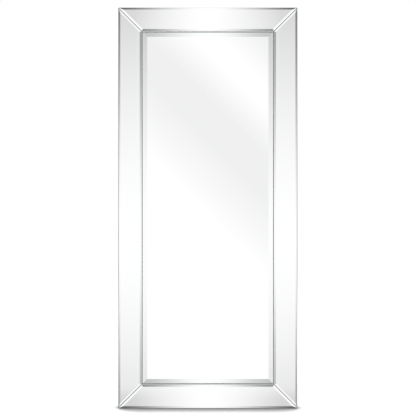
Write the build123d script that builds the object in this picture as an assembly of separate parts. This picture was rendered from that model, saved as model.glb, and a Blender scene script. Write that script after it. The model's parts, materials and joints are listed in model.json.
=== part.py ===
from build123d import *
import os
from math import asin, degrees, sqrt

# A full-length wall mirror: a mitred wood frame faced with bevelled strips of mirror,
# round a large bevelled mirror that sits in a recess. All sizes are in millimetres.
# X runs to the right and Z up as seen from the front, and the front faces -Y.
# The origin is on the wall, behind the middle of the mirror.

# The whole mirror, over the glass strips
overall_width = 610.0
overall_height = 1364.0

# Mirror strips that face the frame
strip_width = 80.0
strip_thickness = 4.0
strip_bevel = 7.0
strip_bevel_drop = 2.0
mitre_gap = 0.5
tip_nip = 1.0

# Double-sided tape under the strips
tape_thickness = 1.0
tape_width = 18.0
tape_inset = 6.0

# Wood frame
glass_overhang = 1.0
frame_depth = 19.0
lip_thickness = 6.0
ledge_width = 14.0
wood_arris = 0.8

# Centre mirror and what cushions it
mirror_lap = 7.0
mirror_thickness = 5.0
mirror_bevel = 25.0
mirror_bevel_drop = 2.5
mirror_edge_room = 2.5
felt_thickness = 0.4
felt_setback = 1.0
foam_thickness = 2.0
block_length = 40.0

# Back panel and its screws
panel_thickness = 3.0
panel_edge_room = 1.0
panel_screws_on_long_side = 5
panel_screws_on_short_side = 2
panel_screw_radius = 1.5
panel_screw_head_radius = 3.3
panel_screw_head_height = 1.8

# V-nails that draw the mitres together
v_nail_leg = 8.0
v_nail_thickness = 0.8
v_nail_height = 10.0
v_nail_sink = 0.5

# Folded strap hangers and their D-rings
ring_wire_radius = 1.25
ring_side_room = 2.0
ring_corner_bend = 2.4
ring_leg = 4.0
ring_running_gap = 0.1
ring_rest_gap = 0.3
strap_thickness = 1.0
strap_width = 14.0
strap_length = 50.0
strap_fold_gap = 0.1
strap_bend_run = 8.0
strap_end_bend = 5.0
strap_first_hole = 25.0
strap_second_hole = 40.0
hanger_screw_radius = 1.75
hanger_screw_head_radius = 3.6
hanger_screw_head_height = 2.0
upright_hanger_drop = 300.0
sideways_hanger_drop = 150.0

# Rubber wall bumpers
bumper_height = 6.0
bumper_radius = 7.0
bumper_rim = 1.0
bumper_inset = 14.0

# Room round a screw in its pilot hole and in the plate that it holds, and the wood past its point
pilot_room = 0.05
plate_room = 0.25
screw_cover = 3.0

# Distances off the wall, from the back of the frame to the back of the strips
frame_back = bumper_height
frame_front = frame_back + frame_depth
strip_back = frame_front + tape_thickness
lip_back = frame_front - lip_thickness

# The lip bears on the bevel, so the mirror's flat face stands a little into the opening
wood_lap = mirror_lap - glass_overhang
bevel_slope = mirror_bevel_drop / mirror_bevel
mirror_front = lip_back - felt_thickness + mirror_bevel_drop - bevel_slope * wood_lap
mirror_back = mirror_front - mirror_thickness
ledge = mirror_back - foam_thickness
panel_back = ledge - panel_thickness
panel_screw_length = frame_front - screw_cover - panel_back

# Insets from the outer edge of the glass, the same on all four sides
wood_outer = glass_overhang
wood_inner = strip_width - glass_overhang
mirror_edge = strip_width - mirror_lap
rebate_wall = mirror_edge - mirror_edge_room
recess_wall = rebate_wall - ledge_width
panel_edge = recess_wall + panel_edge_room
ledge_middle = (panel_edge + rebate_wall) / 2
solid_wood_middle = (wood_outer + recess_wall) / 2

# Sizes of the hangers, with heights above the back of the frame
loop_radius = ring_wire_radius + ring_running_gap
bar_height = strap_thickness + loop_radius
strap_stack = 2 * strap_thickness + strap_fold_gap
hanger_screw_length = strap_stack + frame_depth - screw_cover
ring_half_width = strap_width / 2 + ring_side_room + ring_wire_radius
ring_reach = ring_leg + ring_half_width

# The ring rests where its bow crosses the edges of the strap, a small gap above them
bow_at_strap_edge = ring_leg + sqrt(ring_half_width**2 - (strap_width / 2) ** 2)
bow_rise = strap_stack + ring_rest_gap + ring_wire_radius - bar_height
ring_rest_tilt = degrees(asin(bow_rise / bow_at_strap_edge))

# Each side of the frame, with its turn about the Y axis from the top
TURNS = {"top": 0, "right": 90, "bottom": 180, "left": 270}
CORNERS = {"top_left": (-1, 1), "top_right": (1, 1), "bottom_left": (-1, -1), "bottom_right": (1, -1)}


def span_and_reach(side):
    """Length of a side of the whole outline, and its distance from the middle."""
    if side in ("top", "bottom"):
        return overall_width, overall_height / 2
    return overall_height, overall_width / 2


def turned(side, shape):
    """A piece drawn at the top, turned to its own side."""
    return Rot(0, TURNS[side], 0) * shape


def slab(outline, start, thickness):
    """An outline seen from the front, made solid from a distance off the wall."""
    return extrude(Plane.XZ.offset(start) * outline, thickness)


def spread(count, length):
    """The middles of equal shares of a length, measured from its own middle."""
    return [length * ((place + 0.5) / count - 0.5) for place in range(count)]


def mitred_outline(side, outer_inset, inner_inset, gap=0.0):
    """A trapezoid between two insets, with its ends half a gap short of the mitres."""
    span, reach = span_and_reach(side)
    outer_half = span / 2 - outer_inset - gap / sqrt(2)
    inner_half = span / 2 - inner_inset - gap / sqrt(2)
    points = [
        (-outer_half, reach - outer_inset),
        (-inner_half, reach - inner_inset),
        (inner_half, reach - inner_inset),
        (outer_half, reach - outer_inset),
    ]
    return make_face(Polyline(*points, close=True))


def mitred_length(side, profile):
    """A section of (inset, distance off the wall) points, run along a side and mitred."""
    span, reach = span_and_reach(side)
    points = [(-off_wall, reach - inset) for inset, off_wall in profile]
    section = Plane.YZ * make_face(Polyline(*points, close=True))
    insets = [inset for inset, off_wall in profile]
    ends = slab(mitred_outline(side, min(insets), max(insets)), 0, frame_front)
    return extrude(section, span / 2, both=True) & ends


def bevelled_glass(outline, back, thickness, bevel, drop):
    """Sheet glass with its front ground down all round, to a thinner edge."""
    edge = thickness - drop
    foot = Plane.XZ.offset(back + edge) * outline
    flat = offset(outline, -bevel, kind=Kind.INTERSECTION)
    face = Plane.XZ.offset(back + thickness) * flat
    return slab(outline, back, edge) + loft([foot.face(), face.face()])


def mirror_strip(side):
    """One mitred strip, bevelled on all four edges, with its sharp tips nipped off."""
    span, reach = span_and_reach(side)
    outline = mitred_outline(side, 0, strip_width, mitre_gap)
    glass = bevelled_glass(outline, strip_back, strip_thickness, strip_bevel, strip_bevel_drop)
    kept = slab(Rectangle(span - 2 * tip_nip, 2 * reach), strip_back, strip_thickness)
    return turned(side, glass & kept)


def strip_tape(side):
    """Two bands of tape under a strip, near the outer and the inner edge of the wood."""
    outer = wood_outer + tape_inset
    inner = wood_inner - tape_inset - tape_width
    outlines = [mitred_outline(side, start, start + tape_width, mitre_gap) for start in (outer, inner)]
    return [turned(side, slab(outline, frame_front, tape_thickness)) for outline in outlines]


def centre_mirror():
    """The large mirror, its wide bevel partly hidden under the frame's lip."""
    width = overall_width - 2 * mirror_edge
    height = overall_height - 2 * mirror_edge
    outline = Rectangle(width, height)
    return bevelled_glass(outline, mirror_back, mirror_thickness, mirror_bevel, mirror_bevel_drop)


def lip_felt(side):
    """A felt wedge between the flat lip and the sloping bevel."""
    inner = wood_inner - felt_setback
    thin = felt_thickness + bevel_slope * felt_setback
    thick = felt_thickness + bevel_slope * wood_lap
    profile = [
        (mirror_edge, lip_back),
        (mirror_edge, lip_back - thick),
        (inner, lip_back - thin),
        (inner, lip_back),
    ]
    return turned(side, mitred_length(side, profile))


def edge_blocks(side):
    """Two rubber blocks that fill the room between the mirror's edge and the rebate."""
    span, reach = span_and_reach(side)
    middle = reach - (mirror_edge + rebate_wall) / 2
    block = slab(Rectangle(block_length, mirror_edge_room), ledge, lip_back - ledge)
    places = (-span / 4, span / 4)
    return [turned(side, Pos(along, 0, middle) * block) for along in places]


def foam_sheet():
    """The foam that presses the mirror forward onto the felt."""
    width = overall_width - 2 * mirror_edge
    height = overall_height - 2 * mirror_edge
    return slab(Rectangle(width, height), ledge, foam_thickness)


def panel_screw_spots():
    """Where the back panel's screws stand, as seen from the front."""
    half_width = overall_width / 2 - ledge_middle
    half_height = overall_height / 2 - ledge_middle
    up_the_sides = spread(panel_screws_on_long_side, 2 * half_height)
    along_the_ends = spread(panel_screws_on_short_side, 2 * half_width)
    spots = [(way * half_width, height) for way in (-1, 1) for height in up_the_sides]
    spots += [(across, way * half_height) for way in (-1, 1) for across in along_the_ends]
    return spots


def back_panel():
    """A hardboard panel on the frame's ledge, drilled for its screws."""
    width = overall_width - 2 * panel_edge
    height = overall_height - 2 * panel_edge
    panel = slab(Rectangle(width, height), panel_back, panel_thickness)
    hole = Circle(panel_screw_radius + plate_room)
    for spot in panel_screw_spots():
        panel -= slab(Pos(*spot) * hole, panel_back, panel_thickness)
    return panel


def wood_screw(radius, length, head_radius, head_height):
    """A domed screw that points along +Z, with the underside of its head at the origin."""
    point = 2 * radius
    half_section = [
        (0, -head_height),
        (head_radius / 2, -head_height),
        (head_radius, -head_height / 3),
        (head_radius, 0),
        (radius, 0),
        (radius, length - point),
        (0, length),
    ]
    return revolve(Plane.XZ * make_face(Polyline(*half_section, close=True)), Axis.Z)


def panel_screws():
    """The screws that hold the back panel on its ledge."""
    screw = wood_screw(
        panel_screw_radius, panel_screw_length, panel_screw_head_radius, panel_screw_head_height
    )
    return [Plane.XZ.offset(panel_back) * Pos(*spot) * screw for spot in panel_screw_spots()]


def v_nails(corner):
    """Two bent nails across one mitre, driven in from the back."""
    across, up = CORNERS[corner]
    leg = Pos(-v_nail_leg / 2, 0) * Rectangle(v_nail_leg, v_nail_thickness)
    bend = leg + Rot(0, 0, 90) * leg
    nails = []
    for share in (1 / 3, 2 / 3):
        inset = wood_outer + share * (recess_wall - wood_outer)
        spot = Pos(overall_width / 2 - inset, overall_height / 2 - inset)
        nail = slab(spot * bend, frame_back + v_nail_sink, v_nail_height)
        nail = nail if across > 0 else mirror(nail, Plane.YZ)
        nails.append(nail if up > 0 else mirror(nail, Plane.XY))
    return nails


def hanger_planes():
    """Each hanger's place on the back of the frame: Y along the pull, Z towards the wall."""
    side_x = overall_width / 2 - solid_wood_middle
    end_z = overall_height / 2 - solid_wood_middle
    upright_z = overall_height / 2 - upright_hanger_drop
    sideways_x = overall_width / 2 - sideways_hanger_drop
    return {
        "upright_left": Plane((-side_x, -frame_back, upright_z), (-1, 0, 0), (0, 1, 0)),
        "upright_right": Plane((side_x, -frame_back, upright_z), (-1, 0, 0), (0, 1, 0)),
        "sideways_top": Plane((-sideways_x, -frame_back, end_z), (0, 0, -1), (0, 1, 0)),
        "sideways_bottom": Plane((-sideways_x, -frame_back, -end_z), (0, 0, -1), (0, 1, 0)),
    }


def hanger_strap():
    """A steel strap folded round the ring's bar, its two layers screwed down together."""
    low = strap_thickness / 2
    high = strap_stack - strap_thickness / 2
    crest = 2 * bar_height - strap_thickness / 2
    middle = (-strap_bend_run / 2, (crest + high) / 2)
    path = Wire([
        Line((-strap_length, low), (0, low)),
        ThreePointArc((0, low), (loop_radius + low, bar_height), (0, crest)),
        TangentArc((0, crest), middle, tangent=(-1, 0)),
        TangentArc((-strap_bend_run, high), middle, tangent=(1, 0)),
        Line((-strap_bend_run, high), (-strap_length, high)),
    ])
    section = Plane.YZ * trace(path, strap_thickness)
    strap = extrude(section, strap_width / 2, both=True)
    plan = Pos(0, (bar_height - strap_length) / 2) * Rectangle(strap_width, strap_length + bar_height)
    plan = fillet(plan.vertices().group_by(Axis.Y)[0], strap_end_bend)
    strap &= extrude(plan, 2 * bar_height)
    for hole in (strap_first_hole, strap_second_hole):
        strap -= Pos(0, -hole) * extrude(Circle(hanger_screw_radius + plate_room), strap_stack)
    return strap


def d_ring():
    """A D of round wire, its straight bar on the X axis, laid back over the strap."""
    bend = ring_corner_bend
    half = ring_half_width
    half_path = Wire([
        Line((0, 0), (half - bend, 0)),
        TangentArc((half - bend, 0), (half, bend), tangent=(1, 0)),
        Line((half, bend), (half, ring_leg)),
        TangentArc((half, ring_leg), (0, ring_reach), tangent=(0, 1)),
    ])
    half_ring = sweep(Plane.YZ * Circle(ring_wire_radius), half_path)
    ring = half_ring + mirror(half_ring, Plane.YZ)
    return Pos(0, 0, bar_height) * Rot(180 - ring_rest_tilt, 0, 0) * ring


def hanger_screws():
    """Two screws through each strap, into the solid part of the frame."""
    screw = wood_screw(
        hanger_screw_radius, hanger_screw_length, hanger_screw_head_radius, hanger_screw_head_height
    )
    driven = Rot(180, 0, 0) * screw
    return [
        plane * Pos(0, -hole, strap_stack) * driven
        for plane in hanger_planes().values()
        for hole in (strap_first_hole, strap_second_hole)
    ]


def pilot_holes():
    """The holes that the screws of the panel and the hangers leave in the wood."""
    panel_pilot = Circle(panel_screw_radius + pilot_room)
    depth = panel_screw_length - panel_thickness
    holes = [slab(Pos(*spot) * panel_pilot, ledge, depth) for spot in panel_screw_spots()]
    hanger_pilot = extrude(Circle(hanger_screw_radius + pilot_room), strap_stack - hanger_screw_length)
    for plane in hanger_planes().values():
        holes += [plane * Pos(0, -hole) * hanger_pilot for hole in (strap_first_hole, strap_second_hole)]
    return holes


def frame_member(side):
    """A rail or stile with a rebate for the glass and a recess for the back panel."""
    profile = [
        (wood_outer, frame_back + wood_arris),
        (wood_outer + wood_arris, frame_back),
        (recess_wall, frame_back),
        (recess_wall, ledge),
        (rebate_wall, ledge),
        (rebate_wall, lip_back),
        (wood_inner, lip_back),
        (wood_inner, frame_front),
        (wood_outer, frame_front),
    ]
    member = turned(side, mitred_length(side, profile))
    cuts = pilot_holes()
    for corner in CORNERS:
        cuts += v_nails(corner)
    return member - cuts


def wall_bumper(corner):
    """A round rubber foot that keeps the hangers off the wall."""
    across, up = CORNERS[corner]
    inset = wood_outer + bumper_inset
    spot = (across * (overall_width / 2 - inset), up * (overall_height / 2 - inset))
    foot = slab(Pos(*spot) * Circle(bumper_radius), 0, bumper_height)
    return chamfer(foot.edges().group_by(Axis.Y)[-1], bumper_rim)


def save(node, solids):
    """Write one node's solids to its own file."""
    solids = solids if isinstance(solids, list) else [solids]
    export_step(Compound(children=solids, label=node), os.path.join("parts", node + ".step"))


os.makedirs("parts", exist_ok=True)
save("centre_mirror", centre_mirror())
save("foam_sheet", foam_sheet())
save("back_panel", back_panel())
save("back_panel_screws", panel_screws())
save("lip_felt", [lip_felt(side) for side in TURNS])
save("setting_blocks", edge_blocks("bottom"))
save("edge_shims", edge_blocks("top") + edge_blocks("left") + edge_blocks("right"))
save("hanger_screws", hanger_screws())
for side in TURNS:
    save(side + "_mirror_strip", mirror_strip(side))
    save(side + "_strip_tape", strip_tape(side))
    save(side + ("_rail" if side in ("top", "bottom") else "_stile"), frame_member(side))
for corner in CORNERS:
    save(corner + "_v_nails", v_nails(corner))
    save(corner + "_wall_bumper", wall_bumper(corner))
for name, plane in hanger_planes().items():
    save(name + "_hanger_strap", plane * hanger_strap())
    save(name + "_d_ring", plane * d_ring())
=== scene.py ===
"""Looks of the bevelled wall mirror: its glass, frame, back and hangers, and a plain studio.

Everything is in metres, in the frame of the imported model: X to the right and Z up as
seen from the front, the front facing -Y, and the origin on the wall behind the middle.
"""

from __future__ import annotations

import json
import logging
import math
import sys
from dataclasses import dataclass
from enum import Enum
from typing import Any, Callable, Iterable, Sequence

import bmesh
import bpy
from mathutils import Matrix, Vector

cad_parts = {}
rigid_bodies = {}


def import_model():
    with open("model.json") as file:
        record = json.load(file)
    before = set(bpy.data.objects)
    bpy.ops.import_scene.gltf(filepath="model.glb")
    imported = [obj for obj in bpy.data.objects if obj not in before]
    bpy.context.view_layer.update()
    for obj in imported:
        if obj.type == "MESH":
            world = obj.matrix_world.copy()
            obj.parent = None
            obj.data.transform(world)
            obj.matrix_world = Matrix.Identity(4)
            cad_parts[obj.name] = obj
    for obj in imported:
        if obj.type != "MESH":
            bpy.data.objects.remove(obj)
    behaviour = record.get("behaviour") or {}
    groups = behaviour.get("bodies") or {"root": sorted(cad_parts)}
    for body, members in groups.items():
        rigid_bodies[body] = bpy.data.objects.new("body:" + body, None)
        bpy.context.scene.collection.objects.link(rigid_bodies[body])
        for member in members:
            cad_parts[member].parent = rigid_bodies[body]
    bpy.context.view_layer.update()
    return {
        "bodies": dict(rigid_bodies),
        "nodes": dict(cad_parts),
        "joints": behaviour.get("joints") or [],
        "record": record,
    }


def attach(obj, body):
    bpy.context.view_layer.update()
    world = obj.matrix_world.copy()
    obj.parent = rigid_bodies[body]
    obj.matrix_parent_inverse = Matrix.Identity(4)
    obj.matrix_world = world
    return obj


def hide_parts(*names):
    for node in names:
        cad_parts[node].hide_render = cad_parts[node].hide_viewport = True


MM = 0.001
log = logging.getLogger("bevelled_mirror")

CORNERS = {"top_left": (-1, 1), "top_right": (1, 1), "bottom_left": (-1, -1), "bottom_right": (1, -1)}

Colour = tuple[float, float, float]
Spot = tuple[float, float]


class Side(Enum):
    """A side of the frame, with its turn about the Y axis from the top."""

    TOP = 0
    RIGHT = 90
    BOTTOM = 180
    LEFT = 270

    @property
    def word(self) -> str:
        """The side's name in lower case."""
        return self.name.lower()

    @property
    def turn(self) -> Matrix:
        """The turn that takes a piece drawn at the top to this side."""
        return Matrix.Rotation(math.radians(self.value), 4, "Y")

    @property
    def upright(self) -> bool:
        """Whether this side runs up and down."""
        return self in (Side.RIGHT, Side.LEFT)


class Along(Enum):
    """The direction that a grain or a polish runs in."""

    ACROSS = (1.0, 12.0, 12.0)
    UP = (12.0, 12.0, 1.0)


# nodes written as Python


def operator(operation: str, reflected: bool = False) -> Callable[[Number, Any], Number]:
    """Write an operator of Number as one Math node.

    Args:
        operation: The node's operation.
        reflected: Whether the other value stands first.

    Returns:
        The method.
    """

    def apply(this: Number, other: Any) -> Number:
        """Add the node."""
        return this.maths(operation, first=other) if reflected else this.maths(operation, other)

    return apply


class Number:
    """A number in a node tree, so that shader maths is written as plain sums."""

    def __init__(self, tree: Nodes, socket: bpy.types.NodeSocket) -> None:
        """Wrap a socket of a tree."""
        self.tree = tree
        self.socket = socket

    def maths(self, operation: str, *others: Any, first: Any = None) -> Number:
        """Add a Math node.

        Args:
            operation: The node's operation.
            others: The values after this one.
            first: A value that stands before this one, for reflected sums.

        Returns:
            The node's result.
        """
        values = [self, *others] if first is None else [first, self, *others]
        node = self.tree.add("ShaderNodeMath", {"operation": operation}, dict(enumerate(values)))
        return Number(self.tree, node.outputs[0])

    __add__ = __radd__ = operator("ADD")
    __sub__ = operator("SUBTRACT")
    __rsub__ = operator("SUBTRACT", reflected=True)
    __mul__ = __rmul__ = operator("MULTIPLY")
    __truediv__ = operator("DIVIDE")
    __pow__ = operator("POWER")
    most = operator("MINIMUM")
    least = operator("MAXIMUM")

    def __abs__(self) -> Number:
        """This without its sign."""
        return self.maths("ABSOLUTE")

    def above(self, edge: float) -> Number:
        """One where this is over an edge, and zero elsewhere."""
        return self.maths("GREATER_THAN", edge)

    def ramp(self, start: float, end: float, soft: bool = False) -> Number:
        """Rise from zero to one.

        Args:
            start: Where the result is zero.
            end: Where the result is one.
            soft: Whether the rise eases in and out.

        Returns:
            The result, clamped.
        """
        settings = {"interpolation_type": "SMOOTHSTEP" if soft else "LINEAR", "clamp": True}
        node = self.tree.add("ShaderNodeMapRange", settings, {0: self, 1: start, 2: end, 3: 0.0, 4: 1.0})
        return Number(self.tree, node.outputs[0])

    def window(self, start: float, full: float, fade: float, end: float) -> Number:
        """Rise to one, stay, and fall back to zero, all softly."""
        return self.ramp(start, full, soft=True) * (1.0 - self.ramp(fade, end, soft=True))


class Nodes:
    """A node tree being written."""

    def __init__(self, tree: bpy.types.NodeTree) -> None:
        """Start with an empty tree."""
        self.tree = tree
        tree.nodes.clear()

    def add(
        self, kind: str, settings: dict[str, Any] | None = None, inputs: dict[Any, Any] | None = None
    ) -> bpy.types.Node:
        """Add any node.

        Args:
            kind: The node's type.
            settings: Its own properties, and under "stops" the stops of a ramp.
            inputs: Values or links by the name or number of the socket.

        Returns:
            The node.
        """
        node = self.tree.nodes.new(kind)
        for name, value in (settings or {}).items():
            if name == "stops":
                self._stops(node, value)
            else:
                setattr(node, name, value)
        for key, value in (inputs or {}).items():
            self.feed(node.inputs[key], value)
        return node

    @staticmethod
    def _stops(node: bpy.types.Node, stops: Sequence[tuple[float, Colour]]) -> None:
        """Set the stops of a colour ramp."""
        elements = node.color_ramp.elements
        while len(elements) > 1:
            elements.remove(elements[-1])
        for place, (position, colour) in enumerate(stops):
            element = elements[0] if place == 0 else elements.new(position)
            element.position = position
            element.color = (*colour, 1.0)

    def feed(self, socket: bpy.types.NodeSocket, value: Any) -> None:
        """Link a socket, or set its value."""
        if isinstance(value, Number):
            self.tree.links.new(value.socket, socket)
        elif isinstance(value, bpy.types.NodeSocket):
            self.tree.links.new(value, socket)
        elif isinstance(value, tuple) and len(value) == 3 and socket.type == "RGBA":
            socket.default_value = (*value, 1.0)
        else:
            socket.default_value = value

    def number(self, node: bpy.types.Node, output: Any = 0) -> Number:
        """One output of a node, as a number."""
        return Number(self, node.outputs[output])

    def place(self) -> bpy.types.NodeSocket:
        """Where the point is, in metres."""
        return self.add("ShaderNodeTexCoord").outputs["Object"]

    def axes(self) -> tuple[Number, Number, Number]:
        """The three coordinates of the point, in metres."""
        split = self.add("ShaderNodeSeparateXYZ", inputs={0: self.place()})
        return self.number(split, 0), self.number(split, 1), self.number(split, 2)

    def stretched(self, along: Along) -> bpy.types.NodeSocket:
        """The point's place, drawn out in one direction."""
        node = self.add("ShaderNodeMapping", inputs={"Vector": self.place(), "Scale": along.value})
        return node.outputs[0]

    def noise(
        self, scale: float, detail: float = 3.0, where: Any = None, roughness: float = 0.5
    ) -> Number:
        """Noise from zero to one.

        Args:
            scale: Waves to a metre.
            detail: Finer layers.
            where: The coordinates, or None for the point's place.
            roughness: Strength of the finer layers.

        Returns:
            The noise's factor.
        """
        inputs = {
            "Vector": self.place() if where is None else where,
            "Scale": scale,
            "Detail": detail,
            "Roughness": roughness,
        }
        return self.number(self.add("ShaderNodeTexNoise", inputs=inputs))

    def cells(self, scale: float, feature: str = "F1") -> Number:
        """Distance to the nearest of many scattered cells."""
        inputs = {"Vector": self.place(), "Scale": scale}
        return self.number(self.add("ShaderNodeTexVoronoi", {"feature": feature}, inputs))

    def mix(self, factor: Any, first: Any, second: Any, blend: str = "MIX") -> bpy.types.NodeSocket:
        """Mix two colours.

        Args:
            factor: From the first to the second.
            first: A colour.
            second: A colour.
            blend: The way of mixing.

        Returns:
            The mixed colour.
        """
        settings = {"data_type": "RGBA", "blend_type": blend}
        node = self.add("ShaderNodeMix", settings, {"Factor": factor})
        self.feed(node.inputs[6], first)
        self.feed(node.inputs[7], second)
        return node.outputs[2]

    def bump(self, height: Number, strength: float, distance: float) -> bpy.types.NodeSocket:
        """Turn a height into a normal.

        Args:
            height: The height, from zero to one.
            strength: How much of it counts.
            distance: How tall one is, in metres.

        Returns:
            The normal.
        """
        inputs = {"Height": height, "Strength": strength, "Distance": distance}
        return self.add("ShaderNodeBump", inputs=inputs).outputs[0]


# finishes


@dataclass(frozen=True)
class Finish:
    """What a surface is made of. Each kind fills in the sockets that vary."""

    name: str

    def sockets(self, nodes: Nodes) -> dict[str, Any]:
        """The values and links of the shader's sockets."""
        raise NotImplementedError

    def material(self) -> bpy.types.Material:
        """Build the material, or find it if it was built before.

        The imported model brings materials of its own, so these carry a name that it doesn't use.
        """
        label = f"{self.name}_finish"
        found = bpy.data.materials.get(label)
        if found:
            return found
        made = bpy.data.materials.new(label)
        made.use_nodes = True
        nodes = Nodes(made.node_tree)
        shader = nodes.add("ShaderNodeBsdfPrincipled", inputs=self.sockets(nodes))
        nodes.add("ShaderNodeOutputMaterial", inputs={"Surface": shader.outputs[0]})
        return made


@dataclass(frozen=True)
class SilveredGlass(Finish):
    """The bright face of a mirror, with a trace of haze from wiping."""

    tint: Colour = (0.962, 0.966, 0.964)
    shade: Colour = (0.950, 0.957, 0.953)
    haze: float = 0.010

    def sockets(self, nodes: Nodes) -> dict[str, Any]:
        """See Finish."""
        broad = nodes.noise(2.2, 2.0)
        wiped = nodes.noise(9.0, 4.0).ramp(0.45, 0.8)
        return {
            "Base Color": nodes.mix(broad.ramp(0.3, 0.7), self.tint, self.shade),
            "Metallic": 1.0,
            "Roughness": 0.004 + self.haze * wiped,
        }


@dataclass(frozen=True)
class PolishedEdge(Finish):
    """The ground and polished edge of the glass, greenish because light runs inside it."""

    deep: Colour = (0.300, 0.400, 0.360)
    light: Colour = (0.500, 0.600, 0.560)

    def sockets(self, nodes: Nodes) -> dict[str, Any]:
        """See Finish."""
        grind = nodes.noise(900.0, 2.0)
        drift = nodes.noise(14.0, 2.0)
        return {
            "Base Color": nodes.mix((drift * 0.7 + grind * 0.3).ramp(0.3, 0.75), self.deep, self.light),
            "Roughness": 0.16 + 0.16 * grind,
            "IOR": 1.52,
            "Normal": nodes.bump(grind, 0.25, 0.00004),
        }


@dataclass(frozen=True)
class BackPaint(Finish):
    """The grey paint that guards the silver, run on as a curtain."""

    dark: Colour = (0.235, 0.245, 0.255)
    light: Colour = (0.315, 0.325, 0.335)

    def sockets(self, nodes: Nodes) -> dict[str, Any]:
        """See Finish."""
        curtain = nodes.noise(26.0, 3.0, nodes.stretched(Along.UP))
        speck = nodes.cells(420.0).ramp(0.10, 0.02)
        tone = (curtain * 0.8 + speck * 0.3).ramp(0.25, 0.85)
        return {
            "Base Color": nodes.mix(tone, self.dark, self.light),
            "Roughness": 0.42 + 0.14 * curtain,
            "Normal": nodes.bump(curtain + speck * 0.4, 0.35, 0.00008),
        }


@dataclass(frozen=True)
class PaintedWood(Finish):
    """Grey satin paint on a softwood frame, with the grain showing through."""

    along: Along = Along.UP
    dark: Colour = (0.250, 0.252, 0.255)
    light: Colour = (0.370, 0.372, 0.375)
    worn: Colour = (0.460, 0.450, 0.430)

    def sockets(self, nodes: Nodes) -> dict[str, Any]:
        """See Finish."""
        where = nodes.stretched(self.along)
        grain = nodes.noise(34.0, 5.0, where, 0.62)
        pores = nodes.noise(160.0, 3.0, where).ramp(0.58, 0.76)
        cloud = nodes.noise(5.0, 2.0)
        tone = (grain * 0.6 + cloud * 0.4).ramp(0.28, 0.72)
        body = nodes.mix(tone, self.dark, self.light)
        rubbed = nodes.noise(60.0, 4.0).ramp(0.66, 0.8) * 0.5
        return {
            "Base Color": nodes.mix(rubbed, nodes.mix(pores * 0.45, body, self.dark), self.worn),
            "Metallic": 0.15,
            "Roughness": 0.38 + 0.16 * grain + 0.1 * pores,
            "Normal": nodes.bump(grain * 0.6 + (1.0 - pores) * 0.4, 0.45, 0.0003),
        }


@dataclass(frozen=True)
class SilverLeaf(Finish):
    """Bright silver on the frame's inner wall, laid over a brushed ground."""

    bright: Colour = (0.930, 0.930, 0.925)
    soft: Colour = (0.860, 0.862, 0.860)

    def sockets(self, nodes: Nodes) -> dict[str, Any]:
        """See Finish."""
        cloud = nodes.noise(40.0, 3.0)
        brushed = nodes.noise(420.0, 3.0, nodes.stretched(Along.ACROSS))
        return {
            "Base Color": nodes.mix((cloud * 0.6 + brushed * 0.4).ramp(0.3, 0.7), self.bright, self.soft),
            "Metallic": 1.0,
            "Roughness": 0.16 + 0.14 * brushed,
            "Normal": nodes.bump(brushed, 0.15, 0.00003),
        }


@dataclass(frozen=True)
class Hardboard(Finish):
    """Pressed brown fibre board, its rough side printed by the screen it was pressed on."""

    dark: Colour = (0.082, 0.045, 0.025)
    light: Colour = (0.205, 0.122, 0.070)
    screen: float = 0.0022

    def sockets(self, nodes: Nodes) -> dict[str, Any]:
        """See Finish."""
        across, _, up = nodes.axes()
        turns = 2 * math.pi / self.screen
        weave = (across * turns).maths("SINE") * (up * turns).maths("SINE")
        fibre = nodes.noise(260.0, 5.0, roughness=0.65)
        strands = nodes.noise(70.0, 4.0, nodes.stretched(Along.ACROSS))
        cloud = nodes.noise(4.0, 3.0)
        tone = fibre * 0.45 + strands * 0.3 + cloud * 0.25 + weave * 0.05
        return {
            "Base Color": nodes.mix(tone.ramp(0.38, 0.62), self.dark, self.light),
            "Roughness": 0.72 + 0.16 * fibre,
            "Normal": nodes.bump(weave * 0.5 + fibre * 0.7, 0.5, 0.00035),
        }


@dataclass(frozen=True)
class Foam(Finish):
    """White packing foam, with closed cells."""

    white: Colour = (0.760, 0.765, 0.760)
    shade: Colour = (0.600, 0.605, 0.600)

    def sockets(self, nodes: Nodes) -> dict[str, Any]:
        """See Finish."""
        cell = nodes.cells(900.0)
        cloud = nodes.noise(12.0, 2.0)
        return {
            "Base Color": nodes.mix((cell * 0.7 + cloud * 0.3).ramp(0.15, 0.7), self.white, self.shade),
            "Roughness": 0.85,
            "Normal": nodes.bump(cell, 0.6, 0.0003),
        }


@dataclass(frozen=True)
class Felt(Finish):
    """Matted grey fibres, with a soft sheen."""

    dark: Colour = (0.150, 0.150, 0.155)
    light: Colour = (0.290, 0.290, 0.295)

    def sockets(self, nodes: Nodes) -> dict[str, Any]:
        """See Finish."""
        mat = nodes.noise(1600.0, 4.0, roughness=0.7)
        hairs = nodes.noise(420.0, 3.0, nodes.stretched(Along.ACROSS))
        return {
            "Base Color": nodes.mix((mat * 0.6 + hairs * 0.4).ramp(0.3, 0.7), self.dark, self.light),
            "Roughness": 0.95,
            "Sheen Weight": 0.35,
            "Sheen Roughness": 0.5,
            "Normal": nodes.bump(mat + hairs, 0.7, 0.0003),
        }


@dataclass(frozen=True)
class FoamTape(Finish):
    """Grey double-sided foam tape, seen on its cut edges."""

    dark: Colour = (0.270, 0.275, 0.280)
    light: Colour = (0.420, 0.425, 0.430)

    def sockets(self, nodes: Nodes) -> dict[str, Any]:
        """See Finish."""
        cell = nodes.cells(2200.0)
        drift = nodes.noise(30.0, 2.0)
        return {
            "Base Color": nodes.mix((cell * 0.5 + drift * 0.5).ramp(0.2, 0.7), self.dark, self.light),
            "Roughness": 0.7,
            "Normal": nodes.bump(cell, 0.5, 0.00015),
        }


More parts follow.
